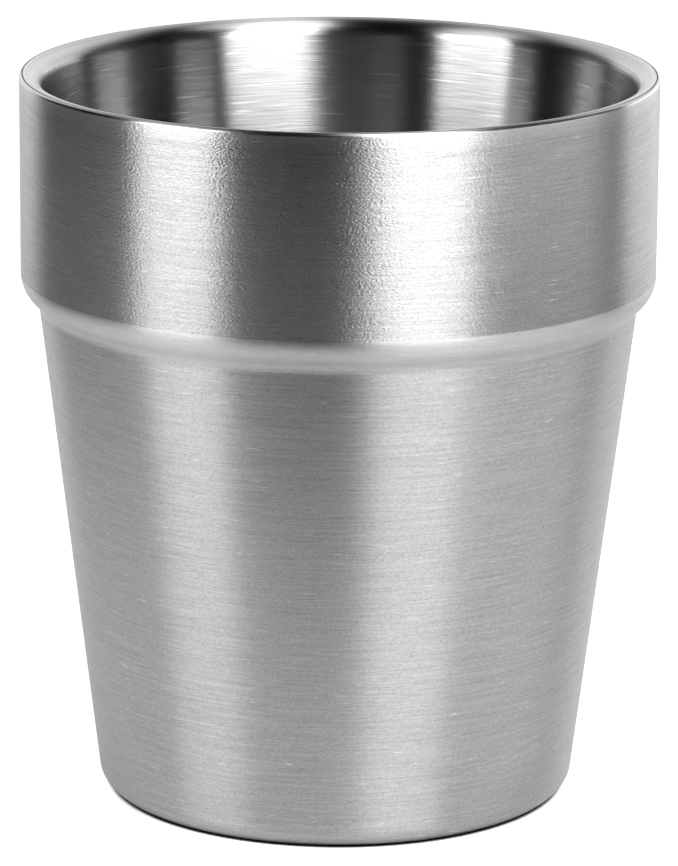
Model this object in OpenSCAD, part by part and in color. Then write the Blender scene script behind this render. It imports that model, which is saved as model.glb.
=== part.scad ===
// Double-wall julep cup in brushed stainless steel.
// A straight collar rolls in over a step to a tapering body, and a liner inside
// turns out at the mouth to a thick rolled lip, where a weld closes the two walls.
// Origin: centre of the foot, on the table. +Z runs up the cup's axis. Millimetres.

/* [Cup] */
// Height from the table to the crest of the lip
cup_h = 102.5; // [88:0.5:120]
// Outside diameter of the straight collar
collar_d = 89; // [78:0.5:104]
// Height of the collar, from the crest of the lip to the step
collar_h = 29.9; // [20:0.1:42]
// How far the step comes in from the collar
step_in = 2.5; // [1.5:0.1:4]
// How far the step drops while it comes in
step_drop = 2.4; // [1.5:0.1:5]
// Outside radius where the collar rolls into the step
step_round = 4.3; // [2:0.1:6]
// Hollow radius where the step runs out into the body
step_hollow = 2.8; // [1:0.1:5]
// Lean of the body and of the liner from upright, in degrees
wall_lean = 7; // [4:0.1:9]
// Thickness of the sheet in the shell and in the liner
wall = 0.5; // [0.4:0.05:0.8]

/* [Lip] */
// Radius of the liner's roll at the mouth
lip_round = 2.6; // [1.6:0.1:3.6]
// Flat crest between the roll and the weld
lip_flat = 0.1; // [0.05:0.05:1]

/* [Liner] */
// Inside radius at the bottom corner of the liner
liner_corner = 9; // [5:0.5:16]
// Room between the getter's holder and the underside of the liner
floor_gap = 2; // [1:0.1:6]

/* [Foot] */
// Outside radius of the bottom corner
foot_round = 3.1; // [2:0.1:5]
// Width of the flat ring that the cup stands on
foot_w = 3.6; // [2.5:0.1:6]
// Leg of the weld between the foot and the base plate, as a share of the wall
weld_share = 0.8; // [0.5:0.05:1]

/* [Base plate] */
// Thickness of the base plate
plate_wall = 0.6; // [0.4:0.05:1]
// Radial room between the base plate and the shell's bottom corner
plate_clearance = 0.15; // [0.05:0.05:0.4]
// Flat rim left inside the foot weld before the plate is drawn up
plate_rim = 1.2; // [0.8:0.1:3]
// How far the middle of the plate is drawn up from the foot
recess_h = 1.6; // [1:0.1:3]
// Lean of the drawn walls of the recess and of the port, in degrees
draw_lean = 35; // [15:1:50]
// Underside radius of the plate's bends
plate_bend = 0.9; // [0.6:0.1:1.4]

/* [Vacuum port] */
// Diameter of the port's dimple in the base plate
port_d = 10; // [7:0.5:13]
// Depth of the dimple
port_depth = 1; // [0.6:0.1:1.6]
// Diameter of the pumping hole in the dimple
hole_d = 1.6; // [1:0.1:2.4]
// Diameter of the glass bead that seals the hole
seal_d = 5; // [3.5:0.1:6]
// Thickness of the glass bead under the hole
seal_h = 0.7; // [0.4:0.05:0.9]

/* [Getter] */
// Diameter of the getter tablet
getter_d = 9; // [6:0.5:11]
// Height of the getter tablet
getter_h = 1.8; // [1.2:0.1:3]
// Chamfer on the tablet's edges
getter_chamfer = 0.3; // [0.1:0.05:0.5]
// Room round the tablet inside its holder
getter_clearance = 0.1; // [0.05:0.05:0.3]
// Thickness of the holder's foil
holder_wall = 0.25; // [0.15:0.05:0.4]
// Width of the holder's welding flange
holder_flange = 1.4; // [1:0.1:2]
// Inside radius of the holder's bends
holder_bend = 0.25; // [0.1:0.05:0.3]
// Diameter of the window over the tablet
window_d = 5; // [3:0.1:5.5]

/* [Hidden] */
// Facets of a full turn, and the most degrees in one facet of a bend
$fn = 144;
arc_step = 5;

// Outside of the cup
collar_r = collar_d / 2;
step_z = cup_h - collar_h;
body_top_z = step_z - step_drop;
body_top_r = collar_r - step_in;
foot_r = body_top_r - body_top_z * tan(wall_lean);
// The collar stops one wall short of the crest, to leave the corner to the weld
collar_top_z = cup_h - wall;

// Foot, base plate and vacuum port
foot_flat_r = foot_r - foot_round * tan((90 - wall_lean) / 2);
foot_edge_r = foot_flat_r - foot_w;
weld_leg = wall * weld_share;
plate_r = foot_flat_r - plate_clearance;
recess_r = foot_edge_r - weld_leg - plate_rim;
panel_r = recess_r - recess_h * tan(draw_lean);
panel_z = wall + recess_h;
port_r = port_d / 2;
port_floor_r = port_r - port_depth * tan(draw_lean);
port_z = panel_z + port_depth;
hole_r = hole_d / 2;

// Getter, midway between the port and the edge of the raised panel
getter_x = (port_r + panel_r) / 2;
getter_z = panel_z + plate_wall;
holder_r = getter_d / 2 + getter_clearance;

// Liner: its flat crest ends at the weld, and the roll and the lean set the mouth
crest_r = collar_r - wall;
mouth_r = crest_r - lip_flat - lip_round * tan((90 - wall_lean) / 2);
floor_z = getter_z + getter_h + holder_wall + floor_gap + wall;
floor_r = mouth_r - (cup_h - floor_z) * tan(wall_lean);

// Paths of [radius, height, bend radius]. The sheet lies on the left of the path.
shell_path = [
    [foot_edge_r, 0, 0],
    [foot_r, 0, foot_round],
    [body_top_r, body_top_z, step_hollow],
    [collar_r, step_z, step_round],
    [collar_r, collar_top_z, 0]
];
liner_path = [
    [crest_r, cup_h, 0],
    [mouth_r, cup_h, lip_round],
    [floor_r, floor_z, liner_corner],
    [0, floor_z, 0]
];
weld_path = [
    [collar_r, collar_top_z, 0],
    [collar_r, cup_h, wall],
    [crest_r, cup_h, 0]
];
plate_path = [
    [hole_r, port_z, 0],
    [port_floor_r, port_z, plate_bend],
    [port_r, panel_z, plate_bend],
    [panel_r, panel_z, plate_bend],
    [recess_r, wall, plate_bend],
    [plate_r, wall, 0]
];
holder_path = [
    [window_d / 2, getter_h, 0],
    [holder_r, getter_h, holder_bend],
    [holder_r, 0, holder_bend],
    [holder_r + holder_wall + holder_flange, 0, 0]
];

// Place of a path's corner, without its bend radius
function place(corner) = [corner[0], corner[1]];

// Direction of the straight that leaves corner i
function heading(path, i) =
    let (run = place(path[i + 1]) - place(path[i]))
    run / norm(run);

// Unit vector to the left of a direction
function left(way) = [-way[1], way[0]];

function is_end(path, i) = i == 0 || i == len(path) - 1;

// Angle through which a path turns at corner i
function turn(path, i) = acos(heading(path, i - 1) * heading(path, i));

// Length that the bend at corner i takes from each of its straights
function bend_run(path, i) = is_end(path, i) ? 0 : path[i][2] * tan(turn(path, i) / 2);

// Share of its bends that the straight after corner i has room for
function room_share(path, i) =
    let (bends = bend_run(path, i) + bend_run(path, i + 1))
    bends == 0 ? 1 : min(1, norm(place(path[i + 1]) - place(path[i])) / bends);

// Path whose bends are made smaller where a straight is too short for them
function fitted(path) = [
    for (i = [0 : len(path) - 1])
        is_end(path, i) ? path[i] : [
            path[i][0],
            path[i][1],
            path[i][2] * min(room_share(path, i - 1), room_share(path, i))
        ]
];

// Side that a path turns to at corner i: 1 to the left, -1 to the right
function turn_side(path, i) = sign(cross(heading(path, i - 1), heading(path, i)));

// Parallel path, a distance to the left, with its bends about the same centres
function beside(path, gap) = [
    for (i = [0 : len(path) - 1])
        let (
            before = left(heading(path, max(i - 1, 0))),
            after = left(heading(path, min(i, len(path) - 2))),
            corner = place(path[i]) + gap * (before + after) / (1 + before * after)
        )
        is_end(path, i) ? [corner[0], corner[1], 0] : [
            corner[0],
            corner[1],
            max(0, path[i][2] - gap * turn_side(path, i))
        ]
];

// Points round the bend at corner i
function bend(path, i) =
    let (
        radius = path[i][2],
        angle = turn(path, i),
        along = heading(path, i - 1),
        inward = turn_side(path, i) * left(along),
        start = place(path[i]) - along * bend_run(path, i),
        facets = max(1, ceil(angle / arc_step))
    )
    [
        for (k = [0 : facets])
            let (a = angle * k / facets)
            start + radius * (along * sin(a) + inward * (1 - cos(a)))
    ];

// All the points of a path
function outline(path) = [
    for (i = [0 : len(path) - 1])
        for (p = (is_end(path, i) || path[i][2] == 0) ? [place(path[i])] : bend(path, i))
            p
];

function reversed(points) = [for (i = [len(points) - 1 : -1 : 0]) points[i]];

// Turned piece of sheet metal: a path, thickened to its left and spun about Z
module spun_sheet(path, thickness) {
    face = fitted(path);
    rotate_extrude()
        polygon(concat(outline(face), reversed(outline(beside(face, thickness)))));
}

// Drawn shell: foot ring, bottom corner, tapering body, step and collar
module outer_shell() {
    color("#b4b4b4")
        spun_sheet(shell_path, wall);
}

// Deep-drawn liner, from the crest of the lip down to the middle of its floor
module inner_liner() {
    color("#c4c4c4")
        spun_sheet(liner_path, wall);
}

// Weld that fills the corner between the collar's edge and the liner's edge, ground round
module rim_weld() {
    color("#d8d8d8")
        rotate_extrude()
            polygon(concat([[crest_r, collar_top_z]], bend(weld_path, 1)));
}

// Pressed base plate: flat rim on the foot ring, raised panel and pumping port
module base_plate() {
    color("#a8a8a8")
        spun_sheet(plate_path, plate_wall);
}

// Fillet weld between the edge of the foot ring and the base plate
module base_weld() {
    color("#8c8c8c")
        rotate_extrude()
            polygon([
                [foot_edge_r, wall - weld_leg],
                [foot_edge_r, wall],
                [foot_edge_r - weld_leg, wall]
            ]);
}

// Glass bead in the port's dimple, with the plug that ran up into the pumping hole
module port_seal() {
    seal_r = seal_d / 2;
    cap_r = (seal_r * seal_r + seal_h * seal_h) / (2 * seal_h);
    color("#39443c") {
        intersection() {
            translate([0, 0, port_z - seal_h + cap_r])
                sphere(r = cap_r);
            translate([0, 0, port_z - seal_h])
                cylinder(r = seal_r, h = seal_h);
        }
        translate([0, 0, port_z - seal_h / 2])
            cylinder(r = hole_r, h = seal_h / 2 + plate_wall);
    }
}

// Getter tablet on the raised panel, which keeps the vacuum
module getter() {
    getter_r = getter_d / 2;
    color("#5a5a5c")
        translate([getter_x, 0, getter_z])
            rotate_extrude()
                polygon([
                    [0, 0],
                    [getter_r - getter_chamfer, 0],
                    [getter_r, getter_chamfer],
                    [getter_r, getter_h - getter_chamfer],
                    [getter_r - getter_chamfer, getter_h],
                    [0, getter_h]
                ]);
}

// Foil cap over the tablet, open in the middle and spot-welded by its flange
module getter_holder() {
    color("#c8b8a0")
        translate([getter_x, 0, getter_z])
            spun_sheet(holder_path, holder_wall);
}

outer_shell();
inner_liner();
rim_weld();
base_plate();
base_weld();
port_seal();
getter();
getter_holder();
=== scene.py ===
# %% [markdown]
# # A double-wall julep cup in brushed steel
# The cup is two skins of thin stainless sheet, welded together at the lip and sealed at the base,
# with a vacuum between them. The engineering model gives every piece its size and place. This
# lesson dresses it: it spins smooth skins on the same sizes, gives each one the finish that its
# making leaves, and sets the cup in a small photo studio, because bare metal has hardly any colour
# of its own and mostly shows what stands round it.

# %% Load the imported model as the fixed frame
import math

import bmesh
import bpy
from mathutils import Matrix, Vector


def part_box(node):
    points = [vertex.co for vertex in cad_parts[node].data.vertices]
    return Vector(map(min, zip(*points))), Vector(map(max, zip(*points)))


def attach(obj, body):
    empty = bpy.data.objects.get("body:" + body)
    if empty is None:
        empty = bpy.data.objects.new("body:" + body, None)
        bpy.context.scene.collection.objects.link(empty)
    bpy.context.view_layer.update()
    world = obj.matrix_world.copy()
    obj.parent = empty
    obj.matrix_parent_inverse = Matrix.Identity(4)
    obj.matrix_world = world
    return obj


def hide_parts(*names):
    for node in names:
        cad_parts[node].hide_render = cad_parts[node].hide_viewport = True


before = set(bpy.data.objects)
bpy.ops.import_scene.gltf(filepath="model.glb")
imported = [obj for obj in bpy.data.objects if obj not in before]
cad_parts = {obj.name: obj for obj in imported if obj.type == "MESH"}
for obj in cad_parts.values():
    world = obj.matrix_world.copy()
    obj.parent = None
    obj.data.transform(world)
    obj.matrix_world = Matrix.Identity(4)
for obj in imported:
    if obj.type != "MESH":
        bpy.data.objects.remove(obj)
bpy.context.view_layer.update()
print("nodes in the frame:", ", ".join(sorted(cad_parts)))

# %% [markdown]
# ## Sizes
# The frame already knows how tall and wide the cup is and how thick its sheet is, so those sizes
# are read from it. A bend can't be read off a box, so the bends are named here, in millimetres, as
# they would stand on the drawing that goes to the press shop.

# %% Sizes of the cup
MM = 0.001
cup_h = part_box("inner_liner")[1].z / MM
collar_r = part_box("outer_shell")[1].x / MM
collar_top_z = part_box("outer_shell")[1].z / MM
foot_edge_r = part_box("base_weld")[1].x / MM
wall = cup_h - collar_top_z
floor_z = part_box("inner_liner")[0].z / MM + wall

WALL_LEAN = 7.0
COLLAR_H = 29.9
STEP_IN, STEP_DROP = 2.5, 2.4
STEP_ROUND, STEP_HOLLOW = 4.3, 2.8
FOOT_ROUND = 3.1
LIP_ROUND, LIP_FLAT = 2.6, 0.1
LINER_CORNER = 9.0


def slope(degrees):
    """Rise of a line at an angle, for each millimetre that it runs."""
    return math.tan(math.radians(degrees))


step_z = cup_h - COLLAR_H
body_top_r, body_top_z = collar_r - STEP_IN, step_z - STEP_DROP
foot_r = body_top_r - body_top_z * slope(WALL_LEAN)
crest_r = collar_r - wall
mouth_r = crest_r - LIP_FLAT - LIP_ROUND * slope(45 - WALL_LEAN / 2)
floor_r = mouth_r - (cup_h - floor_z) * slope(WALL_LEAN)
print(f"cup {cup_h:.1f} mm tall and {2 * collar_r:.1f} mm across, in {wall:.2f} mm sheet")

# %% [markdown]
# ## Drawing a half section
# Nearly every piece here is round, so each is drawn once as a half section and spun about the
# axis, as a spinning lathe does with a disc of sheet. A half section is a list of corners, each
# with a bend radius. The helpers put the arcs in and give the line its thickness. One more point on
# each side of a bend keeps the straight walls truly straight, so that reflections on them don't swim.

# %% Draw a half section
BEND_STEP = 3.0
GUARD_MM = 0.25


def bent(corners, guard=GUARD_MM):
    """Points along a section whose corners are (radius, height, bend radius), in millimetres."""
    points = [Vector(corners[0][:2])]
    for before, corner, after in zip(corners, corners[1:], corners[2:]):
        here, bend = Vector(corner[:2]), corner[2]
        way_in = (here - Vector(before[:2])).normalized()
        way_out = (Vector(after[:2]) - here).normalized()
        angle = way_in.angle(way_out)
        across = Vector((-way_in.y, way_in.x)) * math.copysign(1, way_in.cross(way_out))
        run = bend * math.tan(angle / 2)
        steps = math.ceil(math.degrees(angle) / BEND_STEP)
        arc = [angle * i / steps for i in range(steps + 1)]
        start = here - way_in * run
        turned = [start + bend * (way_in * math.sin(a) + across * (1 - math.cos(a))) for a in arc]
        if guard:
            turned = [start - way_in * guard, *turned, here + way_out * (run + guard)]
        points += turned
    return points + [Vector(corners[-1][:2])]


def beside(corners, gap):
    """The same section, moved to its left, with its bends about the same centres."""
    places = [Vector(corner[:2]) for corner in corners]
    ways = [(b - a).normalized() for a, b in zip(places, places[1:])]
    ways = [ways[0], *ways, ways[-1]]
    moved = []
    for place, corner, before, after in zip(places, corners, ways, ways[1:]):
        left = Vector((-before.y, before.x)) + Vector((-after.y, after.x))
        turn = before.cross(after)
        bend = corner[2] - math.copysign(gap, turn) if turn else 0
        moved.append((*(place + gap * left / (1 + before.dot(after))), bend))
    return moved


def sheet_section(corners, thickness, guard=GUARD_MM):
    """Closed outline of a piece of sheet that lies on the left of a section."""
    return bent(corners, guard) + bent(beside(corners, thickness), guard)[::-1]


print(f"a right angle is bent in {math.ceil(90 / BEND_STEP)} steps")

# %% [markdown]
# ## Spinning a skin
# Blender's Screw modifier could spin a section. Here the mesh is made face by face instead, because
# a map of the surface has to go with it, turns against length along the section, and the brush marks
# are laid on that map. A point on the axis becomes one vertex, and an edge stays sharp only where
# the section has a real corner.

# %% Spin a half section into a mesh
TURN_STEPS = 256
SHARP_ANGLE = math.radians(35)
ON_AXIS_MM = 1e-6


def spin(name, section, steps=TURN_STEPS, swell=None):
    """Spin a closed section of (radius, height) points. swell may move a point at a given turn."""
    mesh = bmesh.new()
    marks = mesh.loops.layers.uv.new("brush")
    rings, runs = [], [0.0]
    for row, point in enumerate(section):
        ring = []
        for turn in range(steps if point.x > ON_AXIS_MM else 1):
            r, z = swell(point, turn / steps) if swell else point
            angle = 2 * math.pi * turn / steps
            ring.append(mesh.verts.new((r * math.cos(angle) * MM, r * math.sin(angle) * MM, z * MM)))
        rings.append(ring)
        runs.append(runs[-1] + (section[(row + 1) % len(section)] - point).length * MM)
    for row, ring in enumerate(rings):
        after = rings[(row + 1) % len(rings)]
        if len(ring) + len(after) == 2:
            continue
        for turn in range(steps):
            spots = {}
            for loop, step, run in ((ring, 0, 0), (after, 0, 1), (after, 1, 1), (ring, 1, 0)):
                vertex = loop[(turn + step) % len(loop)]
                spots.setdefault(vertex, ((turn + step) / steps, runs[row + run]))
            face = mesh.faces.new(list(spots))
            face.smooth = True
            for corner in face.loops:
                corner[marks].uv = spots[corner.vert]
    bmesh.ops.recalc_face_normals(mesh, faces=mesh.faces)
    for edge in mesh.edges:
        edge.smooth = edge.calc_face_angle(0) < SHARP_ANGLE
    data = bpy.data.meshes.new(name)
    mesh.to_mesh(data)
    mesh.free()
    piece = bpy.data.objects.new(name, data)
    bpy.context.scene.collection.objects.link(piece)
    print(f"{name}: {len(data.polygons)} faces")
    return piece


print(f"faces are {2 * math.pi * collar_r / TURN_STEPS:.2f} mm wide round the collar")

# %% [markdown]
# ## The shell
# The outer shell is drawn from one disc of sheet. It turns in under the cup to a flat foot ring,
# rounds the bottom corner, rises through the tapering body, steps out and ends as a straight
# collar. The step is a soft roll over a tighter hollow. That pair of bends draws the light line
# round the cup, so both are real geometry.

# %% Spin the shell
shell_section = [
    (foot_edge_r, 0, 0),
    (foot_r, 0, FOOT_ROUND),
    (body_top_r, body_top_z, STEP_HOLLOW),
    (collar_r, step_z, STEP_ROUND),
    (collar_r, collar_top_z, 0),
]
shell = spin("shell_skin", sheet_section(shell_section, wall))

# %% [markdown]
# ## The liner
# The liner is a second and deeper drawing. Its top is rolled outwards until it meets the shell,
# which is why the lip looks so much thicker than the sheet. Seen from above, the roll turns through
# nearly a right angle within three millimetres, so it gathers the whole studio into a few lines.

# %% Spin the liner
liner_section = [
    (crest_r, cup_h, 0),
    (mouth_r, cup_h, LIP_ROUND),
    (floor_r, floor_z, LINER_CORNER),
    (0, floor_z, 0),
]
liner = spin("liner_skin", sheet_section(liner_section, wall))

# %% [markdown]
# ## The weld at the lip
# The two skins meet in a corner at the outer edge of the lip. The weld there is ground round and
# polished, so all that is left of it is a rounded edge as high as the sheet is thick.

# %% Spin the weld at the lip
rim_corner = [(collar_r, collar_top_z, 0), (collar_r, cup_h, wall), (crest_r, cup_h, 0)]
rim_bead = spin("rim_bead", [Vector((crest_r, collar_top_z))] + bent(rim_corner, 0)[1:-1])

# %% [markdown]
# ## The base
# Underneath, a pressed plate closes the shell. It has a flat rim that lies on the foot ring, a
# raised panel that keeps the plate stiff, and a dimple in the middle with the hole that the air is
# pumped out through. A press leaves the sheet as thick as it was, so the plate is one line of bends
# with a thickness, as the two walls are.

# %% Press the plate
PLATE_WALL, PLATE_RIM, PLATE_BEND = 0.6, 1.2, 0.9
WELD_LEG = 0.4
RECESS_H, PORT_DEPTH = 1.6, 1.0
DRAW_LEAN = 35.0
PORT_R, HOLE_R = 5.0, 0.8

plate_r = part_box("base_plate")[1].x / MM
recess_r = foot_edge_r - WELD_LEG - PLATE_RIM
panel_z = wall + RECESS_H
port_z = panel_z + PORT_DEPTH
plate_section = [
    (HOLE_R, port_z, 0),
    (PORT_R - PORT_DEPTH * slope(DRAW_LEAN), port_z, PLATE_BEND),
    (PORT_R, panel_z, PLATE_BEND),
    (recess_r - RECESS_H * slope(DRAW_LEAN), panel_z, PLATE_BEND),
    (recess_r, wall, PLATE_BEND),
    (plate_r, wall, 0),
]
plate = spin("base_pressing", sheet_section(plate_section, PLATE_WALL, 0))

# %% [markdown]
# ## The weld under the foot
# The plate is welded in by a torch that goes round in small steps, so its bead is a row of
# overlapping ripples. They are modelled, because a bump would leave the edge of the bead smooth: the
# bead's face is pulled inwards by a wave that repeats with every step of the torch.

# %% Lay the weld of the plate
RIPPLE_MM, RIPPLE_STEPS, RIPPLE_SHARE = 0.9, 5, 0.175
FACE_STEPS = 4

ripples = round(2 * math.pi * foot_edge_r / RIPPLE_MM)


def ripple(point, turn):
    """Pull the face of the bead in and out once for each step of the torch."""
    pull = RIPPLE_SHARE * WELD_LEG * (1 - abs(math.sin(math.pi * ripples * turn)))
    on_face = foot_edge_r - WELD_LEG < point.x < foot_edge_r and point.y < wall
    return (point.x + pull, point.y + pull) if on_face else point


shares = [step / FACE_STEPS for step in range(FACE_STEPS + 1)]
bead_face = [Vector((foot_edge_r - WELD_LEG * t, wall - WELD_LEG * (1 - t))) for t in shares]
base_bead = spin("base_bead", [Vector((foot_edge_r, wall)), *bead_face], ripples * RIPPLE_STEPS, ripple)

# %% [markdown]
# ## The glass that closes the hole
# After pumping, a bead of sealing glass is melted over the hole in the dimple. It settles as a flat
# drop with a rounded edge, so its section is an arc, and the drop is never quite round.

# %% Melt the glass bead
SEAL_R, SEAL_H = 2.5, 0.7
DRAWN_IN, LOPSIDED, LOBED = 0.05, 0.03, 0.02
CAP_STEPS, DROP_STEPS = 16, 96

cap_r = (SEAL_R**2 + SEAL_H**2) / (2 * SEAL_H)
cap_angle = math.asin(SEAL_R / cap_r)
cap_turns = [cap_angle * i / CAP_STEPS for i in range(CAP_STEPS + 1)]
drop = [Vector((cap_r * math.sin(a), port_z - SEAL_H + cap_r * (1 - math.cos(a)))) for a in cap_turns]


def uneven(point, turn):
    """Draw the drop's edge in a little, more on one side than on the other."""
    angle = 2 * math.pi * turn
    share = DRAWN_IN + LOPSIDED * math.sin(angle) + LOBED * math.sin(3 * angle + 1)
    return (point.x * (1 - share * point.x / SEAL_R), point.y)


glass_bead = spin("glass_bead", [*drop, Vector((0, port_z))], DROP_STEPS, uneven)

# %% [markdown]
# ## Materials
# Stainless steel is a neutral grey metal, and the pieces differ in how they were finished. Each
# material below is built from nodes. A tree of nodes reads best from its end, so each cell makes its
# patterns first and then lists everything that the main shader gets in one place. Colours are
# written as they look on a screen and turned into the linear values that light works with.

# %% Colours and nodes


def linear(code):
    """A hex colour, as written for the screen, turned into linear values."""
    parts = [int(code[i : i + 2], 16) / 255 for i in (1, 3, 5)]
    return (*(p / 12.92 if p <= 0.04045 else ((p + 0.055) / 1.055) ** 2.4 for p in parts), 1)


def add(tree, kind, inputs=None, **settings):
    """Add a node with its settings. An input is a value, a socket, or a node's first output in use."""
    node = tree.nodes.new(kind)
    for name, value in settings.items():
        setattr(node, name, value)
    for name, value in (inputs or {}).items():
        if isinstance(value, bpy.types.Node):
            value = next(socket for socket in value.outputs if socket.enabled)
        if isinstance(value, bpy.types.NodeSocket):
            tree.links.new(value, node.inputs[name])
        else:
            node.inputs[name].default_value = value
    return node


def material(name):
    """A new material with an empty tree of nodes."""
    made = bpy.data.materials.new(name)
    made.use_nodes = True
    made.node_tree.nodes.clear()
    print("material:", name)
    return made, made.node_tree


print(f"a middle grey on the screen is {linear('#808080')[0]:.2f} of the light of white")

# %% [markdown]
# ## Brush marks
# A belt or a pad leaves marks that run round the cup, each far longer than it is wide. Noise gives
# them, if it is squeezed along the section and drawn out round the axis. The real marks are a few
# hundredths of a millimetre wide, too fine for a picture of the whole cup, so they are drawn as
# coarse as they need to be to show. What is finer still is left to the shader's roughness. Across
# the grooves the surface throws light wide and along them it stays nearly a mirror, so each lamp
# becomes a tall band with sharp sides. In Blender that is anisotropy, with a tangent that runs round
# the cup's axis and a quarter turn that lays the spread across the grooves.

# %% Marks round the axis and layers of relief
ACROSS_GROOVES = 0.25


def brush_marks(tree, spacing, length, detail=2.0):
    """Noise between 0 and 1 in marks a length long and a spacing apart, in millimetres."""
    place = add(tree, "ShaderNodeTexCoord").outputs["Object"]
    level = add(tree, "ShaderNodeSeparateXYZ", {"Vector": place}).outputs
    mapped = add(tree, "ShaderNodeUVMap", uv_map="brush")
    run = add(tree, "ShaderNodeSeparateXYZ", {"Vector": mapped}).outputs
    spot = add(tree, "ShaderNodeCombineXYZ", {"X": level["X"], "Y": level["Y"], "Z": run["Y"]})
    per_mark = (1 / (length * MM), 1 / (length * MM), 1 / (spacing * MM))
    drawn_out = add(tree, "ShaderNodeVectorMath", {0: spot, 1: per_mark}, operation="MULTIPLY")
    return add(tree, "ShaderNodeTexNoise", {
        "Vector": drawn_out, "Scale": 1.0, "Detail": detail, "Roughness": 0.6})


def relief(tree, layers):
    """The bumped normal of layers of (pattern, depth in millimetres) that lie on one another."""
    total = 0.0
    for pattern, depth in layers:
        total = add(tree, "ShaderNodeMath", {0: pattern, 1: depth, 2: total}, operation="MULTIPLY_ADD")
    return add(tree, "ShaderNodeBump", {"Height": total, "Strength": 1.0, "Distance": MM})


print(f"light spreads at {360 * ACROSS_GROOVES:.0f} degrees to the tangent round the cup")

# %% [markdown]
# ## The shell: brushed stainless steel
# The shell is stainless sheet that was brushed with a belt while it turned. To the eye that is long,
# fine marks round the cup, with specks between them, as big as the grit, that break up the edges of
# each bright band as sand would. The colour is made paler along the collar's top edge, and in the step,
# where the paler colour is a painted highlight on the light line. A few short scratches and pits are
# what the press and daily use leave, and the scratches are also painted near white, a painted glint. A
# picture of brushed steel could be wrapped round the cup, but noise has no seam and no end, so the
# marks are worked out on the spot.

# %% Steel brushed round the cup
MARK_SPACING, MARK_LENGTH = 0.2, 9.0
GRIT_LENGTH = 0.4
SCRATCH_SPACING, SCRATCH_LENGTH = 0.18, 2.5
PIT_SPACING, PIT_R = 6.0, 0.12


def brushed_steel(name, heights, roughness, anisotropic, grain_depth, pale_and_highlit):
    """Steel brushed round the axis. Its roughness and how far its colour is made paler, in the step a
    painted highlight, go by the height.
    """
    made, tree = material(name)
    place = add(tree, "ShaderNodeTexCoord").outputs["Object"]
    height = add(tree, "ShaderNodeSeparateXYZ", {"Vector": place}).outputs["Z"]
    marks = brush_marks(tree, MARK_SPACING, MARK_LENGTH)
    grain = brush_marks(tree, MARK_SPACING, GRIT_LENGTH, detail=1.0)
    both = add(tree, "ShaderNodeMath", {0: marks, 1: grain}, operation="ADD")
    shading = add(tree, "ShaderNodeMapRange", {"Value": both, "From Min": 0.6, "From Max": 1.4})
    streaks = brush_marks(tree, SCRATCH_SPACING, SCRATCH_LENGTH, detail=0.0)
    # Scratches are grooves in the relief and are also painted near white, a painted glint.
    scratches_and_glints = add(tree, "ShaderNodeMapRange", {
        "Value": streaks, "From Min": 0.76, "From Max": 0.86, "To Max": 0.45})
    to_pit = add(tree, "ShaderNodeTexVoronoi", {"Vector": place, "Scale": 1 / (PIT_SPACING * MM)})
    pits = add(tree, "ShaderNodeMapRange", {
        "Value": to_pit, "From Min": PIT_R / PIT_SPACING, "From Max": 0.0})
    tone = add(tree, "ShaderNodeMix", {
        "Factor": shading, "A": linear("#9A9A99"), "B": linear("#C2C2C1")}, data_type="RGBA")
    # Paler colour by height: along the collar's top edge, and in the step, where it is a painted highlight.
    paleness_and_highlight = add(tree, "ShaderNodeMapRange", {
        "Value": height, "From Min": pale_and_highlit[0] * MM, "From Max": pale_and_highlit[1] * MM, "To Max": 0.4})
    pale_and_highlit_tone = add(tree, "ShaderNodeMix", {
        "Factor": paleness_and_highlight, "A": tone, "B": linear("#DADAD9")}, data_type="RGBA")
    surface = add(tree, "ShaderNodeBsdfPrincipled", {
        "Base Color": add(tree, "ShaderNodeMix", {
            "Factor": scratches_and_glints, "A": pale_and_highlit_tone, "B": linear("#F0F0EF")}, data_type="RGBA"),
        "Metallic": 1.0,
        "Roughness": add(tree, "ShaderNodeMapRange", {
            "Value": height, "From Min": heights[0] * MM, "From Max": heights[1] * MM,
            "To Min": roughness[0], "To Max": roughness[1]}),
        "Anisotropic": anisotropic,
        "Anisotropic Rotation": ACROSS_GROOVES,
        "Tangent": add(tree, "ShaderNodeTangent", direction_type="RADIAL", axis="Z"),
        "Normal": relief(tree, [
            (marks, 0.006), (grain, grain_depth), (scratches_and_glints, -0.004), (pits, -0.03)])})
    add(tree, "ShaderNodeOutputMaterial", {"Surface": surface})
    return made


print(f"brush marks are {MARK_LENGTH} mm long and {MARK_SPACING} mm apart")

# %% [markdown]
# ## A belt for the collar, a satin brush for the body
# The belt bears hard on the straight collar, so the collar draws its bands out further and shows more
# of the grit. The step and the body below it have a finer satin brush, which looks softer. The collar
# is made paler along its top edge, and the body is painted paler in the step, a painted highlight on
# the light line there. Both are the same function with two sets of values. They could be blended in
# one material, but the anisotropy of a material is best a plain number, so the faces of the sheet are
# shared out between two materials at the start of the roll, where the real finish changes too.

# %% Finishes of the collar and of the body
EDGE_PALE, STEP_HIGHLIGHT = 2, 1

step_angle = math.atan2(STEP_IN, STEP_DROP)
roll_top_z = step_z + STEP_ROUND * math.tan(step_angle / 2)
collar_steel = brushed_steel(
    "stainless_steel_belt_brushed",
    heights=(roll_top_z, collar_top_z),
    roughness=(0.41, 0.31),
    anisotropic=1.0,
    grain_depth=0.035,
    pale_and_highlit=(collar_top_z - EDGE_PALE, collar_top_z))
# The body's paler step is a painted highlight on the light line round the cup.
body_steel = brushed_steel(
    "stainless_steel_satin_brushed",
    heights=(0, roll_top_z),
    roughness=(0.33, 0.35),
    anisotropic=0.91,
    grain_depth=0.01,
    pale_and_highlit=(body_top_z - STEP_HIGHLIGHT, body_top_z + STEP_HIGHLIGHT))
for face in shell.data.polygons:
    face.material_index = int(face.center.z > roll_top_z * MM)
print(f"the collar's finish starts {roll_top_z:.1f} mm above the table")

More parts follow.
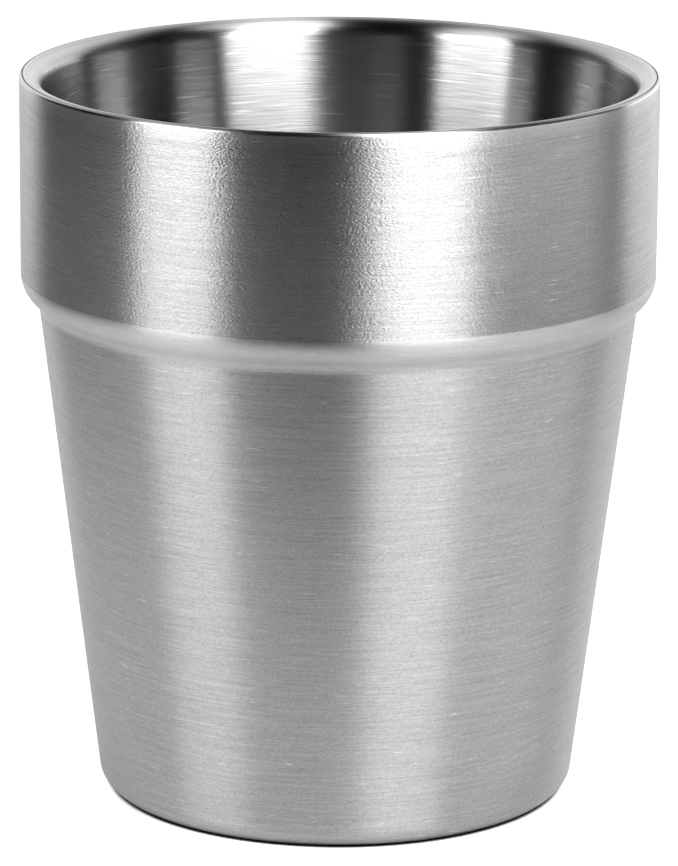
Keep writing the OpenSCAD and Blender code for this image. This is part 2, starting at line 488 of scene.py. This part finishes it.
# %% [markdown]
# ## The liner: polished stainless steel
# The liner is polished from inside with a pad, so its marks are fine and long, and now and then one
# is deep enough to catch the light; such scratches are also painted near white, a painted glint. The
# lip is buffed together with its weld, because it is what one drinks from, and the wheel has left rings
# on it; its colour is painted brighter than the wall, a painted sheen. Both are one sheet, so one
# material turns from the one finish to the other where the roll ends, by the length along the section.

# %% Steel of the liner
PAD_SPACING, PAD_LENGTH = 0.2, 8.0
RING_SPACING, RING_LENGTH = 0.3, 80.0
PAD_SCRATCH_LENGTH = 6.0
BUFFED_SHARE, PADDED_SHARE = 0.7, 1.05

lip_run = LIP_FLAT + LIP_ROUND * math.radians(90 - WALL_LEAN)
liner_steel, tree = material("stainless_steel_pad_polished")
mapped = add(tree, "ShaderNodeUVMap", uv_map="brush")
run = add(tree, "ShaderNodeSeparateXYZ", {"Vector": mapped}).outputs["Y"]
on_wall = add(tree, "ShaderNodeMapRange", {
    "Value": run, "From Min": BUFFED_SHARE * lip_run * MM, "From Max": PADDED_SHARE * lip_run * MM})
marks = brush_marks(tree, PAD_SPACING, PAD_LENGTH)
rings = brush_marks(tree, RING_SPACING, RING_LENGTH)
streaks = brush_marks(tree, PAD_SPACING, PAD_SCRATCH_LENGTH, detail=0.0)
# Scratches are grooves in the relief and are also painted near white, a painted glint.
scratches_and_glints = add(tree, "ShaderNodeMapRange", {
    "Value": streaks, "From Min": 0.7, "From Max": 0.8, "To Max": 0.45})
shading = add(tree, "ShaderNodeMapRange", {"Value": marks, "From Min": 0.25, "From Max": 0.75})
tone = add(tree, "ShaderNodeMix", {
    "Factor": shading, "A": linear("#9E9E9D"), "B": linear("#BCBCBB")}, data_type="RGBA")
scratched = add(tree, "ShaderNodeMix", {
    "Factor": scratches_and_glints, "A": tone, "B": linear("#F0F0EF")}, data_type="RGBA")
# The lip's rings are wheel marks. The lip's colour is painted brighter than the wall, a painted sheen.
lip_rings_painted_bright = add(tree, "ShaderNodeMix", {
    "Factor": rings, "A": linear("#969695"), "B": linear("#F0F0EF")}, data_type="RGBA")
surface = add(tree, "ShaderNodeBsdfPrincipled", {
    "Base Color": add(tree, "ShaderNodeMix", {
        "Factor": on_wall, "A": lip_rings_painted_bright, "B": scratched}, data_type="RGBA"),
    "Metallic": 1.0,
    "Roughness": add(tree, "ShaderNodeMapRange", {"Value": on_wall, "To Min": 0.28, "To Max": 0.24}),
    "Anisotropic": 1.0,
    "Anisotropic Rotation": ACROSS_GROOVES,
    "Tangent": add(tree, "ShaderNodeTangent", direction_type="RADIAL", axis="Z"),
    "Normal": relief(tree, [(marks, 0.009), (scratches_and_glints, -0.005)])})
add(tree, "ShaderNodeOutputMaterial", {"Surface": surface})

# %% [markdown]
# ## The weld at the lip: buffed stainless steel
# The bead is the same steel as the two skins, melted. It is ground round and buffed together with the
# lip, so it is bright, has fine marks along it, and draws one thin line of light round the cup.

# %% Steel of the weld at the lip
BUFF_SPACING, BUFF_LENGTH = 0.15, 20.0

buffed_weld, tree = material("stainless_steel_weld_buffed")
marks = brush_marks(tree, BUFF_SPACING, BUFF_LENGTH)
surface = add(tree, "ShaderNodeBsdfPrincipled", {
    "Base Color": add(tree, "ShaderNodeMix", {
        "Factor": marks, "A": linear("#C0C0BF"), "B": linear("#D8D8D7")}, data_type="RGBA"),
    "Metallic": 1.0,
    "Roughness": 0.28,
    "Anisotropic": 0.9,
    "Anisotropic Rotation": ACROSS_GROOVES,
    "Tangent": add(tree, "ShaderNodeTangent", direction_type="RADIAL", axis="Z"),
    "Normal": relief(tree, [(marks, 0.006)])})
add(tree, "ShaderNodeOutputMaterial", {"Surface": surface})

# %% [markdown]
# ## The weld under the foot: raw stainless steel
# This bead is left as the torch left it: dull, and darker where the heat has put a thin oxide on it.
# The oxide lies in cloudy patches about a millimetre wide, which plain noise gives. The same noise
# makes the dark patches rougher, so they are dull as well.

# %% Steel of the weld under the foot
OXIDE_SPOT = 1.2

raw_weld, tree = material("stainless_steel_weld_raw")
place = add(tree, "ShaderNodeTexCoord").outputs["Object"]
oxide = add(tree, "ShaderNodeTexNoise", {"Vector": place, "Scale": 1 / (OXIDE_SPOT * MM), "Detail": 3.0})
surface = add(tree, "ShaderNodeBsdfPrincipled", {
    "Base Color": add(tree, "ShaderNodeMix", {
        "Factor": oxide, "A": linear("#7C7670"), "B": linear("#B4B1AC")}, data_type="RGBA"),
    "Metallic": 1.0,
    "Roughness": add(tree, "ShaderNodeMapRange", {"Value": oxide, "To Min": 0.5, "To Max": 0.3}),
    "Normal": relief(tree, [(oxide, 0.02)])})
add(tree, "ShaderNodeOutputMaterial", {"Surface": surface})

# %% [markdown]
# ## The plate: mill-finished stainless steel
# Nobody polishes the underside, so the plate keeps the finish of the rolling mill: an even, dull
# sheen with no direction, a faint mottle and the fine grain of the steel. Real grain is about 0.05 mm,
# drawn six times as coarse here. Two layers of noise, one for each, are enough.

# %% Steel of the plate
STEEL_GRAIN, MOTTLE_SPOT = 0.3, 4

plate_steel, tree = material("stainless_steel_mill_finish")
place = add(tree, "ShaderNodeTexCoord").outputs["Object"]
grain = add(tree, "ShaderNodeTexNoise", {"Vector": place, "Scale": 1 / (STEEL_GRAIN * MM), "Detail": 2.0})
mottle = add(tree, "ShaderNodeTexNoise", {"Vector": place, "Scale": 1 / (MOTTLE_SPOT * MM), "Detail": 3.0})
surface = add(tree, "ShaderNodeBsdfPrincipled", {
    "Base Color": add(tree, "ShaderNodeMix", {
        "Factor": mottle, "A": linear("#B0B0AF"), "B": linear("#CCCCCB")}, data_type="RGBA"),
    "Metallic": 1.0,
    "Roughness": add(tree, "ShaderNodeMapRange", {"Value": mottle, "To Min": 0.3, "To Max": 0.42}),
    "Normal": relief(tree, [(grain, 0.004)])})
add(tree, "ShaderNodeOutputMaterial", {"Surface": surface})

# %% [markdown]
# ## The bead: sealing glass
# Sealing glass is full of metal oxides that make it melt early, so it is dark and lets hardly any
# light through. It froze from a melt, so its skin is glossy, with slow waves and a few blisters.

# %% Glass of the bead
WAVE_MM, BLISTER_SPACING = 1.5, 0.9

seal_glass, tree = material("sealing_glass_melted")
place = add(tree, "ShaderNodeTexCoord").outputs["Object"]
waves = add(tree, "ShaderNodeTexNoise", {"Vector": place, "Scale": 1 / (WAVE_MM * MM), "Detail": 1.0})
to_blister = add(tree, "ShaderNodeTexVoronoi", {"Vector": place, "Scale": 1 / (BLISTER_SPACING * MM)})
blisters = add(tree, "ShaderNodeMapRange", {"Value": to_blister, "From Min": 0.2, "From Max": 0.0})
surface = add(tree, "ShaderNodeBsdfPrincipled", {
    "Base Color": add(tree, "ShaderNodeMix", {
        "Factor": waves, "A": linear("#2A322C"), "B": linear("#485248")}, data_type="RGBA"),
    "Roughness": add(tree, "ShaderNodeMapRange", {"Value": waves, "To Min": 0.06, "To Max": 0.16}),
    "IOR": 1.7,
    "Normal": relief(tree, [(waves, 0.05), (blisters, 0.03)])})
add(tree, "ShaderNodeOutputMaterial", {"Surface": surface})

# %% [markdown]
# ## The getter: sintered zirconium alloy
# The getter is sealed in for good and soaks up the gas that the pump has left. It is a tablet of
# zirconium alloy powder, pressed and sintered, so it is matt, porous and dark. Its grains are about
# 0.05 mm, drawn three times as coarse. It keeps the engineering model's own shape, which is exact
# already, and so does its holder.

# %% Powder of the getter
POWDER_GRAIN = 0.15

getter_powder, tree = material("zirconium_alloy_sintered")
place = add(tree, "ShaderNodeTexCoord").outputs["Object"]
grains = add(tree, "ShaderNodeTexNoise", {"Vector": place, "Scale": 1 / (POWDER_GRAIN * MM), "Detail": 3.0})
surface = add(tree, "ShaderNodeBsdfPrincipled", {
    "Base Color": add(tree, "ShaderNodeMix", {
        "Factor": grains, "A": linear("#46464A"), "B": linear("#707074")}, data_type="RGBA"),
    "Metallic": 1.0,
    "Roughness": add(tree, "ShaderNodeMapRange", {"Value": grains, "To Min": 0.95, "To Max": 0.65}),
    "Normal": relief(tree, [(grains, 0.06)])})
add(tree, "ShaderNodeOutputMaterial", {"Surface": surface})

# %% [markdown]
# ## The getter's holder: stamped nickel-chromium foil
# The holder is foil, stamped to a cap that holds the tablet down. It shines, with fine lines from the
# rolling mill and a straw tint from the heat of its spot welds. The lines run one way, so their noise
# is drawn out along them, ten times as coarse as they are, and the tint is noise in wide patches.

# %% Foil of the holder
TINT_SPOT = 2.5
ROLLING_SPACING, ROLLING_LENGTH = 0.2, 4

holder_foil, tree = material("nickel_chromium_foil_stamped")
place = add(tree, "ShaderNodeTexCoord").outputs["Object"]
tint = add(tree, "ShaderNodeTexNoise", {"Vector": place, "Scale": 1 / (TINT_SPOT * MM), "Detail": 2.0})
per_line = (1 / (ROLLING_LENGTH * MM), 1 / (ROLLING_SPACING * MM), 1 / (ROLLING_LENGTH * MM))
rolled = add(tree, "ShaderNodeVectorMath", {0: place, 1: per_line}, operation="MULTIPLY")
rolling = add(tree, "ShaderNodeTexNoise", {"Vector": rolled, "Scale": 1.0, "Detail": 1.0})
surface = add(tree, "ShaderNodeBsdfPrincipled", {
    "Base Color": add(tree, "ShaderNodeMix", {
        "Factor": tint, "A": linear("#B8AC98"), "B": linear("#D2CCC0")}, data_type="RGBA"),
    "Metallic": 1.0,
    "Roughness": add(tree, "ShaderNodeMapRange", {"Value": rolling, "To Min": 0.24, "To Max": 0.36}),
    "Normal": relief(tree, [(rolling, 0.004)])})
add(tree, "ShaderNodeOutputMaterial", {"Surface": surface})

# %% [markdown]
# ## Dressing the model
# Each skin takes the place of one node of the engineering model, which stays as its solid body, and
# moves with the cup's only body. The getter and its holder stay as they are and only get a finish.

# %% Put the pieces on the frame
dressed = [
    (shell, "outer_shell", "brushed_shell", [body_steel, collar_steel]),
    (liner, "inner_liner", "brushed_liner", [liner_steel]),
    (rim_bead, "rim_weld", "polished_weld", [buffed_weld]),
    (plate, "base_plate", "pressed_plate", [plate_steel]),
    (base_bead, "base_weld", "raw_weld", [raw_weld]),
    (glass_bead, "port_seal", "sealing_glass", [seal_glass]),
]
for piece, node, slot_name, finishes in dressed:
    for finish in finishes:
        piece.data.materials.append(finish)
    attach(piece, "root")
    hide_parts(node)
for name, finish in (("getter", getter_powder), ("getter_holder", holder_foil)):
    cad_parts[name].data.materials.clear()
    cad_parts[name].data.materials.append(finish)
print(f"{len(dressed)} skins ride on the frame")

# %% [markdown]
# ## The table
# Bare metal has hardly any colour of its own, so the studio is what gives the cup its look. The cup
# stands on matt white paper. The paper ends close before it on the left, and the dark room beyond
# that edge is the dark band down the front of the cup. A little light of the paper's own, which
# only the camera, glossy surfaces and glass can see, keeps it white while it still takes a shadow.
# Metal gets a smaller share of it than the camera, or the cup would look lit from below. Under the
# rounded edge of the foot the paper sees hardly any sky, and there its colour and its glow are painted
# dark, a painted contact shadow, which draws the fine line that the cup stands on. Places in the studio
# are in metres.

# %% Lay the paper


def card(name, corners, surface):
    """A flat card of the studio, which is no part of the cup."""
    data = bpy.data.meshes.new(name)
    data.from_pydata(corners, [], [range(len(corners))])
    made = bpy.data.objects.new(name, data)
    data.materials.append(surface)
    bpy.context.scene.collection.objects.link(made)
    return made


PAPER_FRONT = [(-0.26, -0.22), (-0.12, -0.155), (0.02, -0.13), (0.2, -0.2), (0.75, -0.36)]
PAPER_BACK = [(0.75, 0.8), (-0.26, 0.8)]
PAPER_GLOW, METAL_SHARE = 0.7, 0.16
SHADE_MM, SHADE_FROM, SHADE_TO = 8.0, 0.16, 0.34

paper, tree = material("paper_matt_white")
open_sky = add(tree, "ShaderNodeAmbientOcclusion", {"Distance": SHADE_MM * MM}, samples=32).outputs["AO"]
# Near the foot the paper's colour and glow are painted dark: a painted contact shadow.
shade = add(tree, "ShaderNodeMapRange", {
    "Value": open_sky, "From Min": SHADE_FROM, "From Max": SHADE_TO}, interpolation_type="SMOOTHSTEP")
path = add(tree, "ShaderNodeLightPath").outputs
shown = add(tree, "ShaderNodeMath", {
    0: path["Is Glossy Ray"], 1: path["Is Transmission Ray"]}, operation="MAXIMUM")
in_metal = add(tree, "ShaderNodeMath", {0: shown, 1: METAL_SHARE}, operation="MULTIPLY")
seen = add(tree, "ShaderNodeMath", {0: path["Is Camera Ray"], 1: in_metal}, operation="MAXIMUM")
lit = add(tree, "ShaderNodeMath", {0: seen, 1: shade}, operation="MULTIPLY")
glow = add(tree, "ShaderNodeMath", {0: lit, 1: PAPER_GLOW}, operation="MULTIPLY")
sheet = add(tree, "ShaderNodeAddShader", {
    0: add(tree, "ShaderNodeBsdfDiffuse", {"Color": add(tree, "ShaderNodeMix", {
        "Factor": shade, "A": linear("#202020"), "B": linear("#E6E6E6")}, data_type="RGBA")}),
    1: add(tree, "ShaderNodeEmission", {"Strength": glow})})
add(tree, "ShaderNodeOutputMaterial", {"Surface": sheet})
card("paper", [(x, y, 0) for x, y in PAPER_FRONT + PAPER_BACK], paper)
nearest = min(math.hypot(x, y) for x, y in PAPER_FRONT)
print(f"the corners of the paper come as near as {nearest / MM:.0f} mm to the cup's axis")

# %% [markdown]
# ## The lamps
# Two soft boxes stand before the cup, a wide one on the right and a narrower one on the left, and
# each draws one band down the collar and the body and one more inside the mouth. Their sides are
# feathered where the bands are soft. They grow brighter towards the top, because the inside of the
# cup, which shows their upper part, is lit more than the body, which shows their foot. A low lamp
# past the edge of the table and a low reflector beside the cup fill the right side.

# %% Stand the soft boxes round the cup
BOX_DISTANCE = 0.6


def soft_box(name, azimuths, feather, heights, strengths):
    """A lit panel between two azimuths from the front, in degrees, and two heights, in metres."""
    surface, tree = material(name + "_cloth")
    spot = add(tree, "ShaderNodeNewGeometry").outputs["Position"]
    along = add(tree, "ShaderNodeSeparateXYZ", {"Vector": spot}).outputs
    front = add(tree, "ShaderNodeMath", {0: along["Y"], 1: -1.0}, operation="MULTIPLY")
    turn = add(tree, "ShaderNodeMath", {0: along["X"], 1: front}, operation="ARCTAN2")
    glow = add(tree, "ShaderNodeMapRange", {
        "Value": along["Z"], "From Min": heights[0], "From Max": heights[1],
        "To Min": strengths[0], "To Max": strengths[1]})
    for edge, inwards in zip(azimuths, (feather[0], -feather[1])):
        fade = add(tree, "ShaderNodeMapRange", {
            "Value": turn, "From Min": math.radians(edge), "From Max": math.radians(edge + inwards)},
            interpolation_type="SMOOTHSTEP")
        glow = add(tree, "ShaderNodeMath", {0: glow, 1: fade}, operation="MULTIPLY")
    cloth = add(tree, "ShaderNodeEmission", {"Strength": glow})
    add(tree, "ShaderNodeOutputMaterial", {"Surface": cloth})
    turns = [math.radians(azimuth) for azimuth in azimuths]
    reach = BOX_DISTANCE / math.cos((turns[1] - turns[0]) / 2)
    ends = [Vector((math.sin(a), -math.cos(a), 0)) * reach for a in turns]
    feet, heads = [[end + Vector((0, 0, height)) for end in ends] for height in heights]
    card(name, [*feet, *heads[::-1]], surface).visible_camera = False


soft_box(
    "soft_box_right", azimuths=(5.5, 51), feather=(13, 5), heights=(0.0, 1.0), strengths=(4.2, 7.3))
soft_box(
    "soft_box_left", azimuths=(-75, -38.5), feather=(2, 7), heights=(-0.05, 0.45), strengths=(0.6, 8.7))
soft_box(
    "low_fill", azimuths=(50, 64), feather=(3, 3), heights=(-0.22, 0.0), strengths=(8.0, 8.0))
soft_box(
    "side_reflector", azimuths=(54, 112), feather=(8, 20), heights=(0.0, 0.12), strengths=(2.5, 0.8))

# %% [markdown]
# ## The light from above
# The roll of the lip looks mostly upwards. Two panels that hang above the cup, one on each side, draw
# its highlights and leave a dark gap between them. A wide, weak lamp at the same height gives the
# paper its even light. It is hidden from metal, which would show it as a white square.

# %% Hang the panels and the lamp
OVERHEAD_Z = 1.1
LAMP_SIZE, LAMP_WATTS, LAMP_Y = 1.2, 4, 0.1


def overhead(name, sides, ends, strength):
    """A lit panel that hangs level between two sides (X) and two ends (Y), in metres."""
    surface, tree = material(name + "_cloth")
    cloth = add(tree, "ShaderNodeEmission", {"Strength": strength})
    add(tree, "ShaderNodeOutputMaterial", {"Surface": cloth})
    (left, right), (front, back) = sides, ends
    corners = [(left, front), (right, front), (right, back), (left, back)]
    card(name, [(x, y, OVERHEAD_Z) for x, y in corners], surface).visible_camera = False


overhead("overhead_right", sides=(0.03, 0.45), ends=(-0.55, 0.4), strength=2.0)
overhead("overhead_left", sides=(-0.9, -0.45), ends=(-0.25, 0.4), strength=1.0)

lamp = bpy.data.lights.new("top_light", "AREA")
lamp.size = LAMP_SIZE
lamp.energy = LAMP_WATTS
top = bpy.data.objects.new("top_light", lamp)
top.location = (0, LAMP_Y, OVERHEAD_Z)
top.visible_glossy = False
top.visible_camera = False
bpy.context.scene.collection.objects.link(top)
print(f"two panels and a lamp hang {OVERHEAD_Z} m above the table")

# %% [markdown]
# ## The backdrop and the room
# Behind the cup hangs a tall white backdrop, and the lip and both edges of the cup show it. Before
# its right half runs a low wall with more light on it, which gives the collar its bright right edge.
# The rest of the room is black, and that keeps the inside of the cup dark between its bands. The
# world does all of that by the direction of a ray: its azimuth from straight behind and its rise.
# The camera alone sees plain white everywhere, as on a page of a catalogue.

# %% Hang the backdrop
world = bpy.data.worlds.new("white_backdrop_dark_room")
bpy.context.scene.world = world
world.use_nodes = True
tree = world.node_tree
tree.nodes.clear()
ray = add(tree, "ShaderNodeTexCoord").outputs["Generated"]
way = add(tree, "ShaderNodeSeparateXYZ", {"Vector": ray}).outputs
turn = add(tree, "ShaderNodeMath", {0: way["X"], 1: way["Y"]}, operation="ARCTAN2")


def screen(left, right, top, paint):
    """A screen with soft edges, each from dark to full: azimuths in degrees, and the sine of the rise."""
    sides = [[math.radians(azimuth) for azimuth in side] for side in (left, right)]
    lit = paint
    for value, (outer, inner) in ((turn, sides[0]), (turn, sides[1]), (way["Z"], top)):
        fade = add(tree, "ShaderNodeMapRange", {
            "Value": value, "From Min": outer, "From Max": inner}, interpolation_type="SMOOTHSTEP")
        lit = add(tree, "ShaderNodeMath", {0: lit, 1: fade}, operation="MULTIPLY")
    return lit


backdrop = screen(left=(-51, -37), right=(60, 46), top=(0.8, 0.65), paint=1.0)
side_wall = screen(left=(14, 24), right=(61, 54), top=(0.18, 0.04), paint=2.6)
room = add(tree, "ShaderNodeMath", {0: backdrop, 1: side_wall}, operation="MAXIMUM")
by_eye = add(tree, "ShaderNodeLightPath").outputs["Is Camera Ray"]
strength = add(tree, "ShaderNodeMath", {0: room, 1: by_eye}, operation="MAXIMUM")
shown = add(tree, "ShaderNodeBackground", {"Color": linear("#FFFFFF"), "Strength": strength})
add(tree, "ShaderNodeOutputWorld", {"Surface": shown})
print(f"world: {world.name}, {len(tree.nodes)} nodes")

# %% [markdown]
# ## The camera
# The camera stands in front of the cup, a little above its mouth, with a long lens, as for a
# catalogue picture. Its place was found by fitting the cup's known outline to the picture: the
# ellipse of the lip gives how far the camera looks down, and the taper gives how far away it is.

# %% Camera
IMAGE_H = 866
FOCAL_PIXELS = 5329.5
SENSOR_MM = 36
CAMERA_MM = 753.2
CAMERA_RISE = 14.411
AIM_Z, AIM_X = 50.69, 0.235
CAMERA_ROLL = 0.386

lens = bpy.data.cameras.new("photo_camera")
lens.sensor_width = SENSOR_MM
lens.lens = FOCAL_PIXELS * SENSOR_MM / IMAGE_H
lens.clip_start = 0.01
camera = bpy.data.objects.new("photo_camera", lens)
rise = math.radians(CAMERA_RISE)
towards = Vector((0, math.cos(rise), -math.sin(rise)))
camera.location = (Vector((AIM_X, 0, AIM_Z)) - CAMERA_MM * towards) * MM
roll = Matrix.Rotation(math.radians(CAMERA_ROLL), 3, "Z")
camera.rotation_euler = (towards.to_track_quat("-Z", "Y").to_matrix() @ roll).to_euler()
bpy.context.scene.collection.objects.link(camera)
bpy.context.scene.camera = camera
bpy.context.scene.view_settings.view_transform = "Standard"
print(f"camera {CAMERA_MM:.0f} mm away, {CAMERA_RISE:.1f} degrees up, with a {lens.lens:.0f} mm lens")
